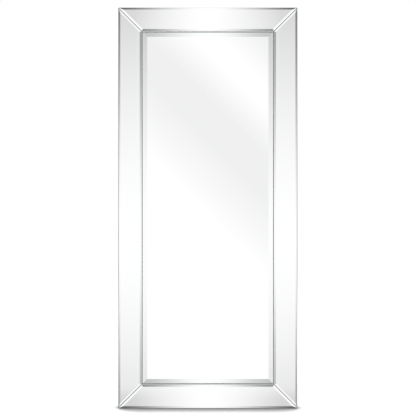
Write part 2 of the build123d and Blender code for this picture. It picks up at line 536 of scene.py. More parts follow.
@dataclass(frozen=True)
class Rubber(Finish):
    """Moulded black rubber, dulled by handling."""

    dark: Colour = (0.016, 0.016, 0.017)
    dusty: Colour = (0.070, 0.069, 0.067)

    def sockets(self, nodes: Nodes) -> dict[str, Any]:
        """See Finish."""
        grain = nodes.noise(1500.0, 2.0)
        dust = nodes.noise(140.0, 4.0).ramp(0.5, 0.85)
        return {
            "Base Color": nodes.mix(dust, self.dark, self.dusty),
            "Roughness": 0.55 + 0.2 * dust,
            "Normal": nodes.bump(grain, 0.4, 0.0001),
        }


@dataclass(frozen=True)
class ZincSteel(Finish):
    """Bright zinc plate on pressed steel, faintly blue where it is thick."""

    bright: Colour = (0.660, 0.670, 0.690)
    dull: Colour = (0.490, 0.500, 0.505)
    warm: Colour = (0.620, 0.590, 0.520)

    def sockets(self, nodes: Nodes) -> dict[str, Any]:
        """See Finish."""
        bloom = nodes.noise(190.0, 3.0)
        drawn = nodes.noise(700.0, 3.0, nodes.stretched(Along.UP))
        stain = nodes.noise(60.0, 3.0).ramp(0.6, 0.85) * 0.5
        body = nodes.mix(bloom.ramp(0.35, 0.7), self.bright, self.dull)
        return {
            "Base Color": nodes.mix(stain, body, self.warm),
            "Metallic": 1.0,
            "Roughness": 0.24 + 0.16 * bloom + 0.08 * drawn,
            "Normal": nodes.bump(drawn, 0.2, 0.00003),
        }


@dataclass(frozen=True)
class NickelWire(Finish):
    """Nickel plate on drawn steel wire, rubbed where it rests."""

    bright: Colour = (0.740, 0.725, 0.700)
    dull: Colour = (0.560, 0.550, 0.535)

    def sockets(self, nodes: Nodes) -> dict[str, Any]:
        """See Finish."""
        cloud = nodes.noise(220.0, 3.0)
        scratch = nodes.noise(1100.0, 2.0, nodes.stretched(Along.ACROSS)).ramp(0.55, 0.75)
        return {
            "Base Color": nodes.mix((cloud * 0.6 + scratch * 0.4).ramp(0.3, 0.8), self.bright, self.dull),
            "Metallic": 1.0,
            "Roughness": 0.13 + 0.12 * cloud + 0.1 * scratch,
            "Normal": nodes.bump(scratch, 0.2, 0.00002),
        }


FACE = SilveredGlass("silvered_face")
BEVEL = SilveredGlass("polished_bevel", (0.945, 0.955, 0.950), (0.925, 0.938, 0.931), 0.018)
EDGE = PolishedEdge("glass_edge")
# The arris, a darker copy of the edge: its dark colour is painted shade, the thin dark line that light
# leaves along the glass's edges.
SHADED_ARRIS = PolishedEdge("ground_arris", (0.085, 0.105, 0.100), (0.200, 0.235, 0.225))
BACK = BackPaint("back_paint")
RAIL_PAINT = PaintedWood("painted_rail", Along.ACROSS)
STILE_PAINT = PaintedWood("painted_stile", Along.UP)
LEAF = SilverLeaf("silver_leaf")
BOARD = Hardboard("hardboard")
FOAM = Foam("foam")
FELT = Felt("felt")
TAPE = FoamTape("foam_tape")
RUBBER = Rubber("rubber")
ZINC = ZincSteel("zinc_steel")
NICKEL = NickelWire("nickel_wire")


# mesh helpers


class Shape:
    """A mesh being built, with its finishes in order."""

    def __init__(self, name: str, *finishes: Finish) -> None:
        """Start an empty shape."""
        self.name = name
        self.finishes = finishes
        self.mesh = bmesh.new()

    def ring(self, points: Iterable[Vector]) -> list[bmesh.types.BMVert]:
        """Add a loop of corners."""
        return [self.mesh.verts.new(point) for point in points]

    def face(self, corners: Sequence[bmesh.types.BMVert], finish: int = 0) -> bmesh.types.BMFace:
        """Add one face."""
        made = self.mesh.faces.new(corners)
        made.material_index = finish
        return made

    def wall(
        self,
        first: list[bmesh.types.BMVert],
        second: list[bmesh.types.BMVert],
        finish: int | Sequence[int] = 0,
    ) -> None:
        """Join two loops of the same length with a band of faces.

        Args:
            first: One loop.
            second: The other loop.
            finish: The band's finish, or one for each of its faces.
        """
        count = len(first)
        for place in range(count):
            after = (place + 1) % count
            kind = finish if isinstance(finish, int) else finish[place]
            self.face((first[place], first[after], second[after], second[place]), kind)

    def stack(
        self,
        outline: Sequence[Spot],
        back: float,
        levels: Sequence[Spot],
        finishes: Sequence[int | Sequence[int]],
        ends: tuple[int, int] = (0, 0),
    ) -> None:
        """Close a solid from copies of an outline, one before another.

        Args:
            outline: Corners of the widest copy.
            back: Distance of the solid's back off the wall.
            levels: For each copy its inset and its height over the back.
            finishes: The finish of each band between two copies.
            ends: The finishes of the back and of the front.
        """
        rings = []
        for depth, height in levels:
            rings.append(self.ring(Vector((x, -back - height, z)) for x, z in inset(outline, depth)))
        for lower, upper, finish in zip(rings, rings[1:], finishes):
            self.wall(lower, upper, finish)
        self.face(rings[0], ends[0])
        self.face(rings[-1], ends[1])

    def take(self, mesh: bpy.types.Mesh, place: Matrix | None = None) -> None:
        """Add a copy of a mesh, with its place."""
        start = len(self.mesh.verts)
        self.mesh.from_mesh(mesh)
        self.mesh.verts.ensure_lookup_table()
        if place is not None:
            bmesh.ops.transform(self.mesh, matrix=place, verts=self.mesh.verts[start:])

    def outward(self) -> None:
        """Point the faces of a closed shape outwards."""
        bmesh.ops.recalc_face_normals(self.mesh, faces=self.mesh.faces[:])

    def finished(self, smooth_below: float = 0.0) -> bpy.types.Object:
        """Make the object.

        Args:
            smooth_below: Edges that bend less than this many degrees look round.

        Returns:
            The object, at the origin.
        """
        mesh = bpy.data.meshes.new(self.name)
        self.mesh.normal_update()
        limit = math.radians(smooth_below)
        for face in self.mesh.faces:
            face.smooth = smooth_below > 0
        for edge in self.mesh.edges:
            edge.smooth = len(edge.link_faces) == 2 and edge.calc_face_angle(0.0) < limit
        self.mesh.to_mesh(mesh)
        self.mesh.free()
        for finish in self.finishes:
            mesh.materials.append(finish.material())
        made = bpy.data.objects.new(self.name, mesh)
        bpy.context.scene.collection.objects.link(made)
        return made


def inset(outline: Sequence[Spot], distance: float) -> list[Spot]:
    """Move every side of a convex outline inwards.

    Args:
        outline: Corners in order, anticlockwise as seen from the front.
        distance: How far each side moves.

    Returns:
        The corners of the smaller outline, in the same order.
    """
    count = len(outline)
    sides = []
    for place in range(count):
        start, end = Vector(outline[place]), Vector(outline[(place + 1) % count])
        run = (end - start).normalized()
        inward = Vector((-run.y, run.x))
        sides.append((start + inward * distance, run))
    corners = []
    for place in range(count):
        (first, one), (second, two) = sides[place - 1], sides[place]
        cross = one.x * two.y - one.y * two.x
        share = ((second.x - first.x) * two.y - (second.y - first.y) * two.x) / cross
        corners.append(tuple(first + one * share))
    return corners


def sweep_mitred(
    shape: Shape, profile: Sequence[Spot], span: float, reach: float, turn: Matrix, gap: float = 0.0
) -> None:
    """Run a section along one side and cut its ends at the mitres.

    Args:
        shape: The shape to add to.
        profile: Corners of the section, as inset from the outer edge and distance off the wall.
        span: Length of the side.
        reach: Distance of the side's outer edge from the middle.
        turn: The side's turn from the top.
        gap: Room left in the mitre joint.
    """
    ends = []
    for way in (-1, 1):
        corners = []
        for depth, off_wall in profile:
            along = way * (span / 2 - depth - gap / math.sqrt(2))
            corners.append(turn @ Vector((along, -off_wall, reach - depth)))
        ends.append(shape.ring(corners))
    shape.wall(ends[0], ends[1])
    shape.face(ends[0])
    shape.face(ends[1])


def rounded(profile: Sequence[Spot], radii: dict[int, float], steps: int = 4) -> list[Spot]:
    """Round some corners of a section.

    Args:
        profile: Corners in order.
        radii: Radius by the number of the corner.
        steps: Faces in each rounding.

    Returns:
        The section with its roundings.
    """
    made: list[Spot] = []
    count = len(profile)
    for place, corner in enumerate(profile):
        if place not in radii:
            made.append(corner)
            continue
        here = Vector(corner)
        before = (Vector(profile[place - 1]) - here).normalized()
        after = (Vector(profile[(place + 1) % count]) - here).normalized()
        half = before.angle(after) / 2
        back = radii[place] / math.tan(half)
        middle = here + (before + after).normalized() * (radii[place] / math.sin(half))
        first, last = here + before * back - middle, here + after * back - middle
        for step in range(steps + 1):
            share = step / steps
            made.append(tuple(middle + first.lerp(last, share).normalized() * radii[place]))
    return made


def lathe(shape: Shape, section: Sequence[Spot], sides: int, place: Matrix, finish: int = 0) -> None:
    """Turn a half section round the Z axis.

    Args:
        shape: The shape to add to.
        section: Radius and height, from the bottom pole to the top pole.
        sides: Faces round the axis.
        place: Where the turned piece goes.
        finish: Which finish it has.
    """
    before: list[bmesh.types.BMVert] = []
    for radius, height in section:
        if radius <= 0:
            ring = [shape.mesh.verts.new(place @ Vector((0, 0, height)))]
        else:
            angles = [2 * math.pi * side / sides for side in range(sides)]
            ring = shape.ring(
                place @ Vector((radius * math.cos(a), radius * math.sin(a), height)) for a in angles
            )
        if before and len(before) == len(ring):
            shape.wall(before, ring, finish)
        elif before:
            pole, loop = (before[0], ring) if len(before) == 1 else (ring[0], before)
            for side in range(sides):
                shape.face((pole, loop[side], loop[(side + 1) % sides]), finish)
        before = ring


def dress(piece: bpy.types.Object, body: str, slot: str, *nodes: str) -> bpy.types.Object:
    """Hand a finished piece to the frame.

    Args:
        piece: The piece, in place.
        body: The CAD body that it rides on.
        slot: The record's slot for its finish; not used.
        nodes: The CAD nodes that it stands for.

    Returns:
        The piece.
    """
    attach(piece, body)
    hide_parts(*nodes)
    log.info("%s: %d faces, for %s", piece.name, len(piece.data.polygons), ", ".join(nodes))
    return piece


def formed(
    frame: dict[str, Any], node: str, finish: Finish, easing: float = 0.0, smooth_below: float = 35
) -> bpy.types.Object:
    """Copy a CAD node's shape, merge it, ease its sharp edges and smooth it.

    Args:
        frame: The loaded frame.
        node: The CAD node.
        finish: What it is made of.
        easing: Size of the easing, or zero.
        smooth_below: Edges that bend less than this many degrees look round.

    Returns:
        The copy.
    """
    shape = Shape(f"{node}_formed", finish)
    shape.take(frame["nodes"][node].data)
    mesh = shape.mesh
    bmesh.ops.remove_doubles(mesh, verts=mesh.verts[:], dist=1e-6)
    bmesh.ops.dissolve_limit(mesh, angle_limit=0.005, verts=mesh.verts[:], edges=mesh.edges[:])
    for face in mesh.faces:
        face.material_index = 0
    if easing:
        sharp = [e for e in mesh.edges if len(e.link_faces) == 2 and e.calc_face_angle(0.0) > 0.9]
        bmesh.ops.bevel(
            mesh, geom=sharp, offset=easing, segments=2, affect="EDGES", profile=0.5, clamp_overlap=True,
            material=0,
        )
    return shape.finished(smooth_below)


# the mirror's sub-assemblies


@dataclass(frozen=True)
class Sizes:
    """Sizes that several sub-assemblies share, in metres."""

    width: float = 610 * MM
    height: float = 1364 * MM
    strip_width: float = 80 * MM
    glass_overhang: float = 1 * MM
    frame_back: float = 6 * MM
    frame_front: float = 25 * MM
    lip_back: float = 19 * MM
    ledge: float = 13.5 * MM
    panel_back: float = 10.5 * MM
    mirror_edge: float = 73 * MM
    rebate_wall: float = 70.5 * MM
    panel_edge: float = 57.5 * MM

    def mirror_outline(self) -> list[Spot]:
        """The outline of the centre mirror, which its foam shares."""
        x, z = self.width / 2 - self.mirror_edge, self.height / 2 - self.mirror_edge
        return [(-x, -z), (x, -z), (x, z), (-x, z)]

    def run(self, side: Side) -> tuple[float, float]:
        """Length of a side, and its distance from the middle."""
        if side.upright:
            return self.height, self.width / 2
        return self.width, self.height / 2


@dataclass
class GlassSheet:
    """A sheet of silvered glass with a polished bevel all round its front."""

    outline: Sequence[Spot]
    back: float
    thickness: float
    bevel: float
    drop: float
    seam: float = 0.3 * MM
    arris: float = 0.5 * MM
    # The finish of the arris on each side of the outline: 4 is the arris painted dark as shade, 1 the
    # mirror bevel.
    arris_finish: Sequence[int] = (4, 4, 4, 4)

    def build(self, shape: Shape) -> None:
        """Add the sheet to a shape.

        Args:
            shape: The shape, whose finishes are face, bevel, edge, back paint and the arris, painted dark
                as shade.
        """
        slope = self.drop / self.bevel
        foot = self.thickness - self.drop
        levels = [
            (0.3 * self.seam, 0.0),
            (0.0, 0.3 * self.seam),
            (0.0, foot - 0.7 * self.seam),
            (self.seam, foot + self.seam * slope),
            (self.arris, foot + self.arris * slope),
            (self.bevel, self.thickness),
        ]
        finishes = (2, 2, 4, self.arris_finish, 1)
        shape.stack(self.outline, self.back, levels, finishes, (3, 0))


@dataclass
class MirrorStrips:
    """The four mitred mirror strips that face the frame."""

    sizes: Sizes
    back: float = 26 * MM
    thickness: float = 4 * MM
    bevel: float = 7 * MM
    drop: float = 2 * MM
    gap: float = 0.5 * MM
    tip_nip: float = 1 * MM
    arris: float = 1.7 * MM

    def outline(self, side: Side) -> list[Spot]:
        """The strip's outline, drawn at the top."""
        span, reach = self.sizes.run(side)
        outer = span / 2 - self.gap / math.sqrt(2)
        inner = outer - self.sizes.strip_width
        low = reach - self.sizes.strip_width
        return [(-inner, low), (inner, low), (outer, reach), (-outer, reach)]

    def strip(self, side: Side) -> bpy.types.Object:
        """One strip, with its sharp tips nipped off."""
        shape = Shape(f"{side.word}_strip_glass", FACE, BEVEL, EDGE, BACK, SHADED_ARRIS)
        outline = self.outline(side)
        # The side strips carry the dark arris on their mitres and outer edge, painted shade for the dark
        # line along their sides; the top and bottom strips keep the mirror bevel there.
        arris_shading = (1, 4, 4, 4) if side.upright else (1, 1, 1, 1)
        sheet = GlassSheet(
            outline,
            self.back,
            self.thickness,
            self.bevel,
            self.drop,
            arris=self.arris,
            arris_finish=arris_shading,
        )
        sheet.build(shape)
        span, _ = self.sizes.run(side)
        for way in (-1, 1):
            self._nip(shape, way, span / 2 - self.tip_nip)
        bmesh.ops.transform(shape.mesh, matrix=side.turn, verts=shape.mesh.verts[:])
        shape.outward()
        return shape.finished()

    @staticmethod
    def _nip(shape: Shape, way: int, reach: float) -> None:
        """Cut one tip square and close the cut."""
        mesh = shape.mesh
        geometry = mesh.verts[:] + mesh.edges[:] + mesh.faces[:]
        cut = bmesh.ops.bisect_plane(
            mesh, geom=geometry, plane_co=(way * reach, 0, 0), plane_no=(way, 0, 0), clear_outer=True
        )
        rim = [item for item in cut["geom_cut"] if isinstance(item, bmesh.types.BMEdge)]
        closed = bmesh.ops.edgeloop_fill(mesh, edges=rim, mat_nr=2)
        for face in closed["faces"]:
            face.material_index = 2

    def build(self) -> None:
        """Make and dress all four."""
        for side in Side:
            dress(self.strip(side), "mirror", "mirror", f"{side.word}_mirror_strip")


@dataclass
class CentreMirror:
    """The large mirror with its wide bevel."""

    sizes: Sizes
    front: float = 20.5 * MM
    thickness: float = 5 * MM
    bevel: float = 25 * MM
    drop: float = 2.5 * MM

    def build(self) -> None:
        """Make and dress the mirror."""
        outline = self.sizes.mirror_outline()
        shape = Shape("centre_glass", FACE, BEVEL, EDGE, BACK, SHADED_ARRIS)
        sheet = GlassSheet(outline, self.front - self.thickness, self.thickness, self.bevel, self.drop)
        sheet.build(shape)
        shape.outward()
        dress(shape.finished(), "mirror", "mirror", "centre_mirror")


@dataclass
class SoftParts:
    """Tape, felt, foam and rubber blocks that bed the glass."""

    sizes: Sizes
    tape_inset: float = 6 * MM
    tape_width: float = 18 * MM
    tape_gap: float = 0.5 * MM
    felt_thickness: float = 0.4 * MM
    felt_setback: float = 1 * MM
    bevel_slope: float = 0.1
    foam_thickness: float = 2 * MM
    block_length: float = 40 * MM

    def tapes(self, side: Side) -> bpy.types.Object:
        """Two bands of tape, their cut edges drawn in a little by the pressure."""
        sizes = self.sizes
        span, reach = sizes.run(side)
        shape = Shape(f"{side.word}_tape_bands", TAPE)
        low, high = sizes.frame_front, sizes.frame_front + 1 * MM
        outer = sizes.glass_overhang + self.tape_inset
        inner = sizes.strip_width - sizes.glass_overhang - self.tape_inset - self.tape_width
        for start in (outer, inner):
            end = start + self.tape_width
            middle = (low + high) / 2
            waist = 0.18 * MM
            profile = [
                (start, low),
                (start + waist, middle),
                (start, high),
                (end, high),
                (end - waist, middle),
                (end, low),
            ]
            sweep_mitred(shape, profile, span, reach, side.turn, self.tape_gap)
        shape.outward()
        return shape.finished(50)

    def felt(self) -> bpy.types.Object:
        """The felt wedges between the lip and the bevel, with soft inner edges."""
        sizes = self.sizes
        wood_inner = sizes.strip_width - sizes.glass_overhang
        inner = wood_inner - self.felt_setback
        thin = self.felt_thickness + self.bevel_slope * self.felt_setback
        thick = self.felt_thickness + self.bevel_slope * (wood_inner - sizes.mirror_edge)
        corners = [
            (sizes.mirror_edge, sizes.lip_back),
            (sizes.mirror_edge, sizes.lip_back - thick),
            (inner, sizes.lip_back - thin),
            (inner, sizes.lip_back),
        ]
        soft = rounded(corners, {0: 0.3 * MM, 1: 0.3 * MM, 2: 0.15 * MM, 3: 0.15 * MM}, 3)
        shape = Shape("felt_wedges", FELT)
        for side in Side:
            span, reach = sizes.run(side)
            sweep_mitred(shape, soft, span, reach, side.turn)
        shape.outward()
        return shape.finished(50)

    def foam(self) -> bpy.types.Object:
        """The foam sheet behind the mirror, with its rim rounded."""
        sizes = self.sizes
        shape = Shape("foam_backing", FOAM)
        rim = 0.9 * MM
        levels = [(rim * (1 - math.sin(a)), rim * (1 - math.cos(a))) for a in (0, 0.5, 1.05, math.pi / 2)]
        levels += [(depth, self.foam_thickness - height) for depth, height in reversed(levels)]
        bands = [0] * (len(levels) - 1)
        shape.stack(sizes.mirror_outline(), sizes.ledge, levels, bands)
        shape.outward()
        return shape.finished(60)

    def blocks(self, name: str, sides: Sequence[Side]) -> bpy.types.Object:
        """Rubber blocks between the mirror's edge and the rebate, two to a side."""
        sizes = self.sizes
        shape = Shape(name, RUBBER)
        room = sizes.mirror_edge - sizes.rebate_wall
        depth = sizes.lip_back - sizes.ledge
        for side in sides:
            span, reach = sizes.run(side)
            middle = reach - (sizes.mirror_edge + sizes.rebate_wall) / 2
            for along in (-span / 4, span / 4):
                scale = Matrix.Diagonal((self.block_length, depth, room, 1))
                where = Vector((along, -(sizes.ledge + sizes.lip_back) / 2, middle))
                place = side.turn @ Matrix.Translation(where) @ scale
                bmesh.ops.create_cube(shape.mesh, size=1, matrix=place)
        bmesh.ops.bevel(
            shape.mesh, geom=shape.mesh.edges[:], offset=0.35 * MM, segments=2, affect="EDGES", profile=0.5
        )
        shape.outward()
        return shape.finished(50)

    def build(self) -> None:
        """Make and dress all the bedding."""
        for side in Side:
            dress(self.tapes(side), "mirror", "mirror_tape", f"{side.word}_strip_tape")
        felt = dress(self.felt(), "mirror", "felt", "lip_felt")
        foam = dress(self.foam(), "mirror", "foam", "foam_sheet")
        dress(self.blocks("bottom_blocks", [Side.BOTTOM]), "mirror", "rubber", "setting_blocks")
        others = [Side.TOP, Side.LEFT, Side.RIGHT]
        dress(self.blocks("side_and_top_shims", others), "mirror", "rubber", "edge_shims")


@dataclass
class WoodFrame:
    """The mitred wood frame, with its edges eased before it was painted."""

    sizes: Sizes
    easing: float = 0.5 * MM
    long_edge: float = 100 * MM

    def member(self, frame: dict[str, Any], side: Side) -> bpy.types.Object:
        """One rail or stile, copied from its CAD node and eased along its length."""
        node = self.node(side)
        paint = STILE_PAINT if side.upright else RAIL_PAINT
        shape = Shape(f"{node}_eased", paint, LEAF)
        shape.take(frame["nodes"][node].data)
        mesh = shape.mesh
        bmesh.ops.remove_doubles(mesh, verts=mesh.verts[:], dist=1e-6)
        bmesh.ops.dissolve_limit(mesh, angle_limit=0.01, verts=mesh.verts[:], edges=mesh.edges[:])
        wall = self.sizes.strip_width - self.sizes.glass_overhang - 0.5 * MM
        _, reach = self.sizes.run(side)
        for face in mesh.faces:
            middle = side.turn.inverted() @ face.calc_center_median()
            face.material_index = 1 if middle.z < reach - wall else 0
        long_edges = [
            edge
            for edge in mesh.edges
            if edge.calc_length() > self.long_edge
            and len(edge.link_faces) == 2
            and 0.5 < edge.calc_face_angle(0.0) < 2.5
            and edge.is_convex
        ]
        bmesh.ops.bevel(
            mesh, geom=long_edges, offset=self.easing, segments=3, affect="EDGES", profile=0.5,
            clamp_overlap=True, material=-1,
        )
        return shape.finished(12)

    @staticmethod
    def node(side: Side) -> str:
        """The CAD node of a side."""
        return f"{side.word}_stile" if side.upright else f"{side.word}_rail"

    def build(self, frame: dict[str, Any]) -> None:
        """Make and dress the four members."""
        for side in Side:
            dress(self.member(frame, side), "mirror", "painted_wood", self.node(side))


@dataclass
class WoodScrew:
    """A domed screw with a cross recess, pointing along -Y from the underside of its head."""

    radius: float
    length: float
    head_radius: float
    head_height: float
    pitch: float = 1.3 * MM
    sides: int = 20

    def head(self) -> list[Spot]:
        """The half section of the head, from its rim to the middle of its dome."""
        low = self.head_height * 0.3
        rise = self.head_height - low
        steps = [math.pi / 2 * step / 6 for step in range(7)]
        dome = [(self.head_radius * math.cos(a), low + rise * math.sin(a)) for a in steps]
        return [(self.head_radius * 0.97, 0.0), *dome[:-1], (0.0, self.head_height)]

    def shank(self) -> list[Spot]:
        """The half section of the threaded shank, from its point up to the head."""
        tip = 2 * self.radius
        root = self.radius * 0.72
        section: list[Spot] = [(0.0, -self.length)]
        height = -self.length + tip * 0.35
        crest = False
        while height < -self.pitch:
            share = min(1.0, (height + self.length) / tip)
            section.append(((self.radius if crest else root) * share, height))
            height += self.pitch / 2
            crest = not crest
        section.append((self.radius, height))
        section.append((self.radius, 0.0))
        return section

    def template(self, name: str) -> bpy.types.Object:
        """One screw at the origin, for the rows to repeat."""
        shape = Shape(name, ZINC)
        lathe(shape, self.shank() + self.head(), self.sides, Matrix.Rotation(math.radians(-90), 4, "X"))
        self._recess(shape)
        shape.outward()
        return shape.finished(40)

    def _recess(self, shape: Shape) -> None:
        """Press the cross into the dome by moving the faces that lie in it."""
        arm, half = self.head_radius * 0.5, self.head_radius * 0.11
        depth = self.head_height * 0.55
        mesh = shape.mesh
        for axis in ("x", "z"):
            for offset in (-half, half):
                normal = Vector((1, 0, 0)) if axis == "x" else Vector((0, 0, 1))
                top = [v for v in mesh.verts if v.co.y > 0.3 * self.head_height]
                faces = list({f for v in top for f in v.link_faces})
                geometry = faces + list({e for f in faces for e in f.edges}) + top
                bmesh.ops.bisect_plane(mesh, geom=geometry, plane_co=normal * offset, plane_no=normal)
        for vertex in mesh.verts:
            if vertex.co.y < 0.3 * self.head_height:
                continue
            across, up = abs(vertex.co.x), abs(vertex.co.z)
            narrow, far = min(across, up), max(across, up)
            if narrow < half * 0.98 and far < arm:
                vertex.co.y -= depth * (1 - 0.45 * far / arm)


class ScrewRow:
    """Rows of one screw, each set out by a geometry tree."""

    def __init__(self, finish: Finish) -> None:
        """Build the tree once."""
        self.tree = bpy.data.node_groups.new("screw_row", "GeometryNodeTree")
        face = self.tree.interface
        face.new_socket("Geometry", in_out="OUTPUT", socket_type="NodeSocketGeometry")
        face.new_socket("Geometry", in_out="INPUT", socket_type="NodeSocketGeometry")
        kinds = {
            "Screw": "NodeSocketObject",
            "Count": "NodeSocketInt",
            "Start": "NodeSocketVector",
            "Step": "NodeSocketVector",
            "Seed": "NodeSocketInt",
            "Finish": "NodeSocketMaterial",
        }
        self.sockets = {
            name: face.new_socket(name, in_out="INPUT", socket_type=kind).identifier
            for name, kind in kinds.items()
        }
        self.finish = finish
        self._write()

    def _write(self) -> None:
        """Write the tree: a line of points, a screw on each, turned by chance."""
        nodes = Nodes(self.tree)
        given = nodes.add("NodeGroupInput").outputs
        line = nodes.add(
            "GeometryNodeMeshLine",
            {"mode": "OFFSET"},
            {"Count": given["Count"], "Start Location": given["Start"], "Offset": given["Step"]},
        )
        turn = nodes.add(
            "FunctionNodeRandomValue",
            {"data_type": "FLOAT_VECTOR"},
            {0: (0.0, 0.0, 0.0), 1: (0.0, 2 * math.pi, 0.0), "Seed": given["Seed"]},
        )
        screw = nodes.add(
            "GeometryNodeObjectInfo", {"transform_space": "ORIGINAL"}, {"Object": given["Screw"]}
        )
        placed = nodes.add(
            "GeometryNodeInstanceOnPoints",
            inputs={
                "Points": line.outputs[0],
                "Instance": screw.outputs["Geometry"],
                "Rotation": turn.outputs[0],
            },
        )
        real = nodes.add("GeometryNodeRealizeInstances", inputs={0: placed.outputs[0]})
        coated = nodes.add(
            "GeometryNodeSetMaterial", inputs={"Geometry": real.outputs[0], "Material": given["Finish"]}
        )
        nodes.add("NodeGroupOutput", inputs={0: coated.outputs[0]})

    def lay(
        self, name: str, screw: WoodScrew, rows: Sequence[tuple[int, Vector, Vector]]
    ) -> bpy.types.Object:
        """Set out rows of a screw as one plain mesh.

        Args:
            name: The piece's name.
            screw: The screw to repeat.
            rows: For each row the count, the first place and the step.

        Returns:
            One object that holds every screw.
        """
        template = screw.template(f"{name}_template")
        joined = Shape(name, self.finish)
        for seed, (count, start, step) in enumerate(rows):
            carrier = bpy.data.objects.new("row_carrier", bpy.data.meshes.new("row_carrier"))
            bpy.context.scene.collection.objects.link(carrier)
            modifier = carrier.modifiers.new("row", "NODES")
            modifier.node_group = self.tree
            values = {
                "Screw": template,
                "Count": count,
                "Start": tuple(start),
                "Step": tuple(step),
                "Seed": seed + 3,
                "Finish": self.finish.material(),
            }
            for word, value in values.items():
                modifier[self.sockets[word]] = value
            bpy.context.view_layer.update()
            evaluated = carrier.evaluated_get(bpy.context.evaluated_depsgraph_get())
            plain = bpy.data.meshes.new_from_object(evaluated)
            joined.take(plain)
            bpy.data.meshes.remove(plain)
            bpy.data.objects.remove(carrier)
        bpy.data.objects.remove(template)
        return joined.finished(40)


@dataclass
class BackPanel:
    """The hardboard panel and the screws round it."""

    sizes: Sizes
    screw: WoodScrew
    on_long_side: int = 5
    on_short_side: int = 2

    def rows(self) -> list[tuple[int, Vector, Vector]]:
        """The four rows of screws: up both sides, then along both ends."""
        sizes = self.sizes
        ledge_middle = (sizes.panel_edge + sizes.rebate_wall) / 2
        half_width = sizes.width / 2 - ledge_middle
        half_height = sizes.height / 2 - ledge_middle
        back = -sizes.panel_back
        up = 2 * half_height / self.on_long_side
        along = 2 * half_width / self.on_short_side
        rows = []
        for way in (-1, 1):
            start = Vector((way * half_width, back, up / 2 - half_height))
            rows.append((self.on_long_side, start, Vector((0, 0, up))))
        for way in (-1, 1):
            start = Vector((along / 2 - half_width, back, way * half_height))
            rows.append((self.on_short_side, start, Vector((along, 0, 0))))
        return rows

    def build(self, frame: dict[str, Any], layer: ScrewRow) -> None:
        """Make and dress the panel and lay its screws."""
        panel = formed(frame, "back_panel", BOARD, 0.25 * MM, 12)
        dress(panel, "mirror", "hardboard", "back_panel")
        screws = layer.lay("panel_screw_set", self.screw, self.rows())
        dress(screws, "mirror", "zinc_steel", "back_panel_screws")


@dataclass
class Hangers:
    """The four folded straps with their D-rings, and the screws through them."""

    sizes: Sizes
    screw: WoodScrew
    strap_stack: float = 2.1 * MM
    first_hole: float = 25 * MM
    second_hole: float = 40 * MM
    upright_drop: float = 300 * MM
    sideways_drop: float = 150 * MM
    solid_wood_middle: float = 28.75 * MM
    easing: float = 0.18 * MM

    def bars(self) -> dict[str, tuple[Vector, Vector]]:
        """Where each ring's bar crosses its strap, and the way that the strap runs from it."""
        sizes = self.sizes
        side_x = sizes.width / 2 - self.solid_wood_middle
        end_z = sizes.height / 2 - self.solid_wood_middle
        upright_z = sizes.height / 2 - self.upright_drop
        sideways_x = sizes.width / 2 - self.sideways_drop
        back = -sizes.frame_back
        down, inward = Vector((0, 0, -1)), Vector((1, 0, 0))
        return {
            "upright_left": (Vector((-side_x, back, upright_z)), down),
            "upright_right": (Vector((side_x, back, upright_z)), down),
            "sideways_top": (Vector((-sideways_x, back, end_z)), inward),
            "sideways_bottom": (Vector((-sideways_x, back, -end_z)), inward),
        }

    def rows(self) -> list[tuple[int, Vector, Vector]]:
        """Two screws through each strap."""
        rise = Vector((0, self.strap_stack, 0))
        step = self.second_hole - self.first_hole
        return [(2, bar + rise + run * self.first_hole, run * step) for bar, run in self.bars().values()]

    def build(self, frame: dict[str, Any], layer: ScrewRow) -> None:
        """Make and dress the straps, the rings and the screws."""
        for name in self.bars():
            strap = formed(frame, f"{name}_hanger_strap", ZINC, self.easing)
            dress(strap, "mirror", "zinc_steel", f"{name}_hanger_strap")
            ring = formed(frame, f"{name}_d_ring", NICKEL)
            dress(ring, f"{name}_ring", "nickel_wire", f"{name}_d_ring")
        screws = layer.lay("hanger_screw_set", self.screw, self.rows())
        dress(screws, "mirror", "zinc_steel", "hanger_screws")


@dataclass
class WallBumpers:
    """The round rubber feet in the four corners of the back."""

    sizes: Sizes
    height: float = 6 * MM
    radius: float = 7 * MM
    centre_inset: float = 15 * MM

    def section(self) -> list[Spot]:
        """The half section: flared at the wood, rounded at the wall, its face a little hollow."""
        radius, height = self.radius, self.height
        rim = 1.0 * MM
        turns = [math.pi / 2 * step / 5 for step in range(6)]
        corner = [(radius - rim + rim * math.cos(a), height - rim + rim * math.sin(a)) for a in turns]
        waist = (radius - 0.25 * MM, height * 0.45)
        hollow = [(radius * 0.52, height), (radius * 0.47, height - 0.25 * MM), (0.0, height - 0.3 * MM)]
        return [(0.0, 0.0), (radius * 0.6, 0.0), (radius, 0.0), (radius, 0.6 * MM), waist, *corner, *hollow]

    def build(self) -> None:
        """Make and dress the four."""
        for name, (across, up) in CORNERS.items():
            shape = Shape(f"{name}_foot", RUBBER)
            x = across * (self.sizes.width / 2 - self.centre_inset)
            z = up * (self.sizes.height / 2 - self.centre_inset)
            place = Matrix.Translation((x, -self.sizes.frame_back, z)) @ Matrix.Rotation(
                math.radians(-90), 4, "X"
            )
            lathe(shape, self.section(), 40, place)
            shape.outward()
            dress(shape.finished(40), "mirror", "rubber", f"{name}_wall_bumper")


# the studio


class Lie(Enum):
    """Which way a grey flag on the reflecting card runs."""

    LEVEL = "level"
    UPRIGHT = "upright"


